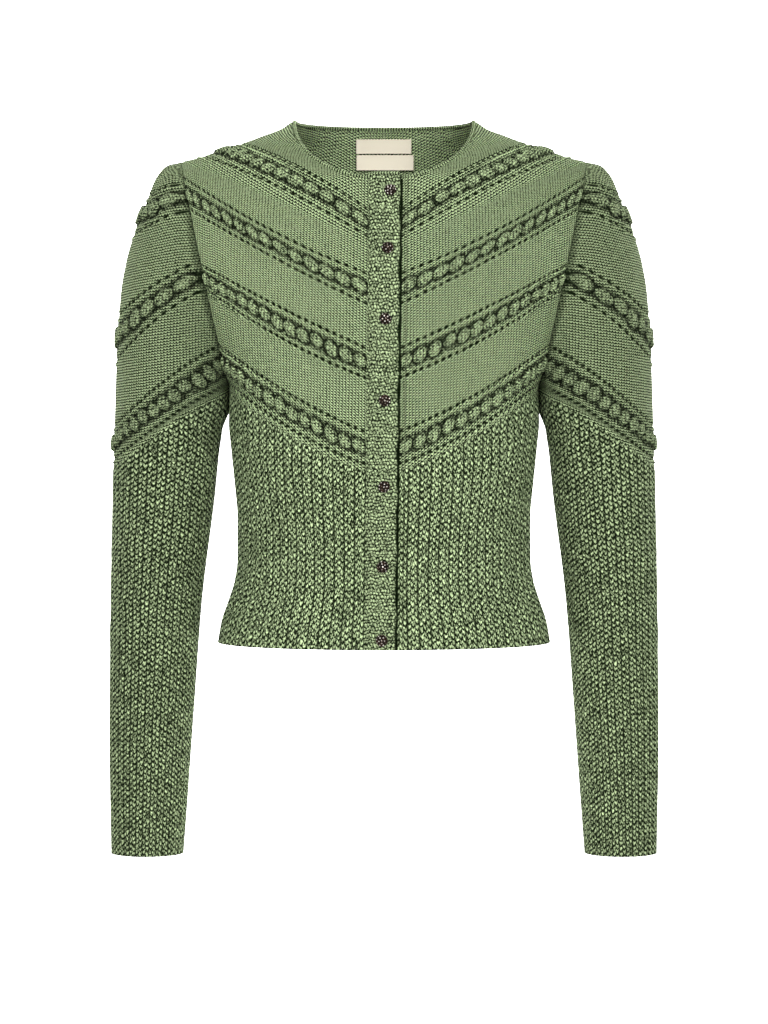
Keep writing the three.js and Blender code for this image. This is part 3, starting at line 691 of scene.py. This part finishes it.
def neckLine():
    zOver = panel["bandTop"] + roll["radius"] + roll["gap"]
    xs, lifts = (np.array(a, float) for a in zip(*roll["overBand"]))
    zs = 0 * xs + zOver
    over = openingPoint(bandMiddle(zs) + xs, zs, lifts)
    lines = [(over, 0 * over + [0, 0, 1], bodyNormal(-1, 1, 0 * zs, zs))]
    for face, side, reverse in ((-1, -1, False), (1, -1, True), (1, 1, False), (-1, 1, True)):
        share = np.linspace(0.03, 0.985, 40)
        lines.append(neckAt(face, side, share[::-1] if reverse else share))
    centre, up, out = (np.concatenate(a) for a in zip(*lines))
    length = np.concatenate([[0], np.cumsum(np.linalg.norm(np.diff(centre, axis=0), axis=1))])
    at = np.linspace(0, length[-1], roll["steps"] + 1)
    line = [np.stack([np.interp(at, length, a[:, i]) for i in range(3)], -1) for a in (centre, up, out)]
    for a in line[1:]:
        a /= np.linalg.norm(a, axis=-1, keepdims=True)
    return line, length[-1]


print("neck edge")
(neckCentre, neckUp, neckOut), neckLength = neckLine()
mesh, row, col = gridMesh(roll["sides"], roll["steps"], False)
turn = col / roll["sides"] * 2 * math.pi
along = row / roll["steps"] * neckLength
swell = roll["radius"] + roll["stitchRise"] * np.cos(2 * math.pi * along / roll["stitch"] + turn) - 0.05
ray = neckUp[row] * np.cos(turn)[:, None] + neckOut[row] * np.sin(turn)[:, None]
mesh.vertices.foreach_set("co", ((neckCentre[row] + ray * swell[:, None]) * mm).ravel())
loops = np.zeros(len(mesh.loops), int)
mesh.loops.foreach_get("vertex_index", loops)
for name, turns in (("knit", turn / 1.2), ("bead", turn)):
    uv = np.stack([turns, along / roll["stitch"]], -1)
    mesh.uv_layers.new(name=name).uv.foreach_set("vector", uv[loops].ravel())
for name in yarnMarks:
    mesh.attributes.new(name, "FLOAT", "POINT")
bm = bmesh.new()
bm.from_mesh(mesh)
bmesh.ops.remove_doubles(bm, verts=bm.verts[:], dist=1e-6)
bmesh.ops.holes_fill(bm, edges=[e for e in bm.edges if e.is_boundary], sides=0)
bmesh.ops.recalc_face_normals(bm, faces=bm.faces[:])
neckEdge = finishPiece("knit_neck_binding", bm)
standFor(neckEdge, "neck_binding")

# bare woven labels inside the back neck
labels = {
    "label_upper": {"x": (-27, 26.5), "z": (-9.4, -22.6)},
    "label_lower": {"x": (-26.5, 28.5), "z": (-24, -38.4)},
}


def labelSurface(place, u, v, outside):
    x, z = mix(*place["x"], u), mix(*place["z"], v)
    side = np.where(x < 0, -1, 1)
    angle = np.arcsin(np.abs(x) / halfWidth(1, z))
    edge = smooth(0, 0.06, v) * smooth(1, 0.94, v) * smooth(0, 0.015, u) * smooth(1, 0.985, u)
    lift = -4.1 if not outside else -4.9 + 0.25 * edge - 0.3 * np.sin(u * 9 + v) * u * (1 - u)
    point = bodyPoint(1, side, angle, z) + bodyNormal(1, side, angle, z) * (lift + 0 * u)[..., None]
    return {"co": point, "knit": (x / 0.5, z / 0.5), "bead": (u, v), "groove": 1 - edge}


print("labels")
labelPieces = []
for name, place in labels.items():
    piece = shell(
        "woven_" + name,
        lambda u, v, outside, place=place: labelSurface(place, u, v, outside),
        (60, 20),
        (20, 10),
    )
    labelPieces.append(standFor(piece, name))

# domed silver buttons
button = {
    "radius": 5.5,
    "height": 4.2,
    "base": 3.6,
    "shank": 0.9,
    "dome": [(0.84, 0), (0.98, 0.2), (0.93, 0.36), (0.78, 0.55), (0.52, 0.74), (0.22, 0.85)],  # shares of both
    "beadRings": [(0, 1, 0.9), (2.6, 5, 0.75), (4.6, 9, 0.7)],  # ring radius, beads, bead radius
    "turn": 0.37,
}


def buttonMesh():
    bm = bmesh.new()
    r, h, base = button["radius"], button["height"], button["base"]
    profile = [(button["shank"], 0.3), (button["shank"], base)]
    profile += [(r * x, base + h * z) for x, z in button["dome"]] + [(0.01, base + h * 0.87)]
    verts = [bm.verts.new((x * mm, 0, z * mm)) for x, z in profile]
    edges = [bm.edges.new(pair) for pair in zip(verts, verts[1:])]
    bmesh.ops.spin(bm, geom=verts + edges, cent=(0, 0, 0), axis=(0, 0, 1), angle=2 * math.pi, steps=30)
    bmesh.ops.remove_doubles(bm, verts=bm.verts[:], dist=2e-5)
    bmesh.ops.holes_fill(bm, edges=[e for e in bm.edges if e.is_boundary], sides=0)
    dome = set(bm.faces)
    for ring, count, size in button["beadRings"]:
        rise = base + h * (0.9 - 0.62 * (ring / r) ** 2)
        for k in range(count):
            a = 2 * math.pi * k / count
            at = Matrix.Translation(Vector((ring * math.cos(a), ring * math.sin(a), rise)) * mm)
            bmesh.ops.create_icosphere(bm, subdivisions=1, radius=size * mm, matrix=at)
    for face in bm.faces:
        face.material_index = 0 if face in dome else 1
    bmesh.ops.recalc_face_normals(bm, faces=bm.faces[:])
    return bm


print("buttons")
buttonPieces = []
for i, (z, x) in enumerate(buttonPlaces):
    side = -1 if x < 0 else 1
    angle = math.asin(abs(x) / float(halfWidth(-1, np.array(z, float))))
    height = np.array(z, float)
    normal = Vector(bodyNormal(-1, side, np.array(angle), height))
    at = Vector(bodyPoint(-1, side, np.array(angle), height)) * mm
    bm = buttonMesh()
    spin = Matrix.Rotation(i * button["turn"], 4, "Z")
    stand = Vector((0, 0, 1)).rotation_difference(normal).to_matrix().to_4x4()
    bmesh.ops.transform(bm, matrix=Matrix.Translation(at) @ stand @ spin, verts=bm.verts[:])
    piece = finishPiece(f"silver_button_{i + 1}", bm)
    buttonPieces.append(standFor(piece, f"button_{i + 1}"))


# materials
class Term:
    def __init__(self, tree, socket):
        self.tree, self.socket = tree, socket

    def math(self, operation, *others):
        node = self.tree.nodes.new("ShaderNodeMath")
        node.operation = operation
        for port, value in zip(node.inputs, (self, *others)):
            feed(self.tree, port, value)
        return Term(self.tree, node.outputs[0])

    def __add__(self, other):
        return self.math("ADD", other)

    def __mul__(self, other):
        return self.math("MULTIPLY", other)

    def __sub__(self, other):
        return self.math("SUBTRACT", other)

    def __rsub__(self, other):
        return (self * -1).math("ADD", other)

    def __pow__(self, other):
        return self.math("POWER", other)

    def fract(self):
        return self.math("FRACT")

    def wave(self):
        return (self * (2 * math.pi)).math("COSINE") * 0.5 + 0.5

    def clip(self):
        return self.math("MAXIMUM", 0).math("MINIMUM", 1)


def feed(tree, port, value):
    if isinstance(value, Term):
        tree.links.new(value.socket, port)
    else:
        port.default_value = value


class Look:
    def __init__(self, name):
        self.material = bpy.data.materials.new(name)
        self.material.use_nodes = True
        self.tree = self.material.node_tree
        self.shader = self.tree.nodes["Principled BSDF"]

    def node(self, kind, output, settings=None, inputs=None):
        node = self.tree.nodes.new(kind)
        for key, value in (settings or {}).items():
            setattr(node, key, value)
        for key, value in (inputs or {}).items():
            feed(self.tree, node.inputs[key], value)
        return Term(self.tree, node.outputs[output])

    def value(self, name):
        return self.node("ShaderNodeAttribute", "Fac", {"attribute_name": name})

    def uv(self, name):
        whole = self.node("ShaderNodeUVMap", "UV", {"uv_map": name})
        return [self.node("ShaderNodeSeparateXYZ", axis, inputs={"Vector": whole}) for axis in "XY"]

    def blend(self, share, low, high):
        return self.node("ShaderNodeMix", 2, {"data_type": "RGBA"}, {0: share, 6: low, 7: high})

    def noise(self, scale, detail):
        where = self.node("ShaderNodeTexCoord", "Object")
        return self.node("ShaderNodeTexNoise", "Fac", inputs={"Vector": where, "Scale": scale, "Detail": detail})

    def bump(self, height, distance, strength=1.0):
        inputs = {"Height": height, "Distance": distance, "Strength": strength}
        return self.node("ShaderNodeBump", "Normal", inputs=inputs)

    def set(self, **ports):
        for key, value in ports.items():
            feed(self.tree, self.shader.inputs[key.replace("_", " ")], value)


def yarnLook(name, light):
    look = Look(name)
    groove, hole, beads, rough, proud, rib = (look.value(mark) for mark in yarnMarks)
    wobble = look.noise(210, 1) - 0.5
    u, v = (c + wobble * 0.5 for c in look.uv("knit"))
    bu, bv = (c + wobble * (beads * 0.9 + 0.6) for c in look.uv("bead"))
    across = (u.fract() - 0.5).math("ABSOLUTE")
    plain = ((1 - across * across * 3) * (v + across * 0.9).wave() - 0.33) * 3.6 + 0.42  # stocking stitch, small Vs
    px = (bu + bv.math("FLOOR") * 0.5).fract() - 0.5
    py = bv.fract() - 0.5
    bead = 0.6 - ((px * px + py * py) * 2.9) ** 1.8 * 0.9  # moss stitch, staggered dots
    q = (bu.fract() - 0.5).math("ABSOLUTE")
    odd = (bu.math("FLOOR") * 0.5).fract()
    mark = (bv + q * 1.0 + odd * 0.9).wave()
    chain = 0.49 - (1 - mark) ** 3 * 0.8 - (q * 2) ** 4 * 0.35  # the rib's chains
    height = plain + (bead - plain) * beads
    height = height + (chain - height) * rib
    fleck = look.noise(560, 2) - 0.5
    # painted highlight on bobbles and ridges, and painted light on the inside faces, from proud
    pattern = height * (1 - rough * 0.75) + proud * 0.42 + rough * 0.1 + 0.02 + fleck * (rough * 0.3 + 2.2)
    shade = pattern.clip() ** 1.4 * (1 - groove * 0.95).clip() * (1 - hole)
    # the yarn's green, with its stitch gaps, grooves and eyelets painted near black as shade
    colour = look.blend(shade.clip(), (0.002, 0.006, 0.0005, 1), light)
    look.set(Base_Color=colour, Roughness=0.95, Normal=look.bump((height + fleck) * (1 - hole), 0.0012))
    look.shader.inputs["Specular IOR Level"].default_value = 0.06
    return look.material


def labelLook():
    look = Look("woven tape")
    u, v = look.uv("knit")
    weave = u.wave() * v.wave()
    edge = look.value("groove")
    colour = look.blend((weave * 0.3 + edge * 0.4).clip(), (0.95, 0.87, 0.71, 1), (0.6, 0.5, 0.37, 1))
    look.set(Base_Color=colour, Roughness=0.75, Normal=look.bump(weave, 0.0002, 0.5))
    return look.material


def metalLook(name, low, high, roughness):
    look = Look(name)
    tarnish = look.noise(500, 1)
    colour = look.blend((tarnish * 5 - 2.2).clip(), low, high)
    grain = look.bump(look.noise(2500, 1), 0.0001, 0.4)
    look.set(Base_Color=colour, Roughness=tarnish * 0.2 + roughness, Normal=grain, Metallic=0.9)
    return look.material


def paleLook():
    look = Look("pale backdrop")
    look.set(Base_Color=look.blend(look.noise(2, 1), (0.9, 0.9, 0.9, 1), (0.92, 0.92, 0.92, 1)), Roughness=0.9)
    return look.material


print("materials")
yarn = yarnLook("sage yarn", (0.76, 0.96, 0.52, 1))
# the sleeves and both button bands take a copy of the yarn about 72% as bright: painted shade, not a different yarn
shadedYarn = yarnLook("sage yarn in shade", (0.55, 0.69, 0.375, 1))
woven = labelLook()
tarnished = metalLook("tarnished silver", (0.004, 0.003, 0.002, 1), (0.035, 0.02, 0.014, 1), 0.5)
silver = metalLook("antique silver", (0.1, 0.07, 0.05, 1), (0.95, 0.9, 0.84, 1), 0.2)
for piece in (*fronts, back, neckEdge):
    piece.data.materials.append(yarn)
for piece in (*sleeves, buttonholeBand, buttonBand):
    piece.data.materials.append(shadedYarn)
for piece in labelPieces:
    piece.data.materials.append(woven)
for piece in buttonPieces:
    piece.data.materials.append(tarnished)
    piece.data.materials.append(silver)

# stage, light and camera
stage = {"floor": -0.95, "back": 5.4, "width": 12, "reach": 5, "height": 6, "curve": 0.8, "curveSteps": 12}
bm = bmesh.new()
path = [(-stage["reach"], stage["floor"])]
for k in range(stage["curveSteps"] + 1):
    a = k / stage["curveSteps"] * quarter
    y = stage["back"] - stage["curve"] * (1 - math.sin(a))
    path.append((y, stage["floor"] + stage["curve"] * (1 - math.cos(a))))
path.append((stage["back"], stage["height"]))
verts = [bm.verts.new((-stage["width"] / 2, y, z)) for y, z in path]
edges = [bm.edges.new(pair) for pair in zip(verts, verts[1:])]
sweep = bmesh.ops.extrude_edge_only(bm, edges=edges)
moved = [g for g in sweep["geom"] if isinstance(g, bmesh.types.BMVert)]
bmesh.ops.translate(bm, vec=(stage["width"], 0, 0), verts=moved)
bmesh.ops.recalc_face_normals(bm, faces=bm.faces[:])
mesh = bpy.data.meshes.new("backdrop")
for face in bm.faces:
    face.smooth = True
bm.to_mesh(mesh)
bm.free()
backdrop = bpy.data.objects.new("backdrop", mesh)
bpy.context.scene.collection.objects.link(backdrop)
backdrop.data.materials.append(paleLook())

lights = [  # place, target, size, watts
    ((-1.0, -2.9, 1.7), (0, 0, -0.25), 1.4, 78),
    ((1.4, -2.8, 1.1), (0, 0, -0.3), 1.6, 64),
    ((0, -0.4, 2.4), (0, 0.1, -0.2), 1.6, 20),
    ((-3.2, 2.8, 0.9), (0, 5.4, -0.3), 1.5, 520),
    ((3.2, 2.8, 0.9), (0, 5.4, -0.3), 1.5, 520),
]
for i, (place, target, size, watts) in enumerate(lights):
    lamp = bpy.data.lights.new(f"softbox{i}", "AREA")
    lamp.shape, lamp.size, lamp.energy = "DISK", size, watts
    holder = bpy.data.objects.new(f"softbox{i}", lamp)
    holder.location = place
    holder.rotation_euler = (Vector(target) - Vector(place)).to_track_quat("-Z", "Y").to_euler()
    bpy.context.scene.collection.objects.link(holder)
world = bpy.data.worlds.new("studio")
world.use_nodes = True
world.node_tree.nodes["Background"].inputs["Color"].default_value = (1, 1, 1, 1)
world.node_tree.nodes["Background"].inputs["Strength"].default_value = 0.6
bpy.context.scene.world = world
bpy.context.scene.view_settings.view_transform = "Standard"

view = {"x": 0.0, "height": -0.242, "away": 3.1, "middle": -0.3627, "span": 0.952}
lens = bpy.data.cameras.new("camera")
lens.sensor_width = 36
lens.lens = 36 * view["away"] / view["span"]
lens.shift_y = (view["middle"] - view["height"]) / view["span"]
camera = bpy.data.objects.new("camera", lens)
camera.location = (view["x"], -view["away"], view["height"])
camera.rotation_euler = (quarter, 0, 0)
bpy.context.scene.collection.objects.link(camera)
bpy.context.scene.camera = camera
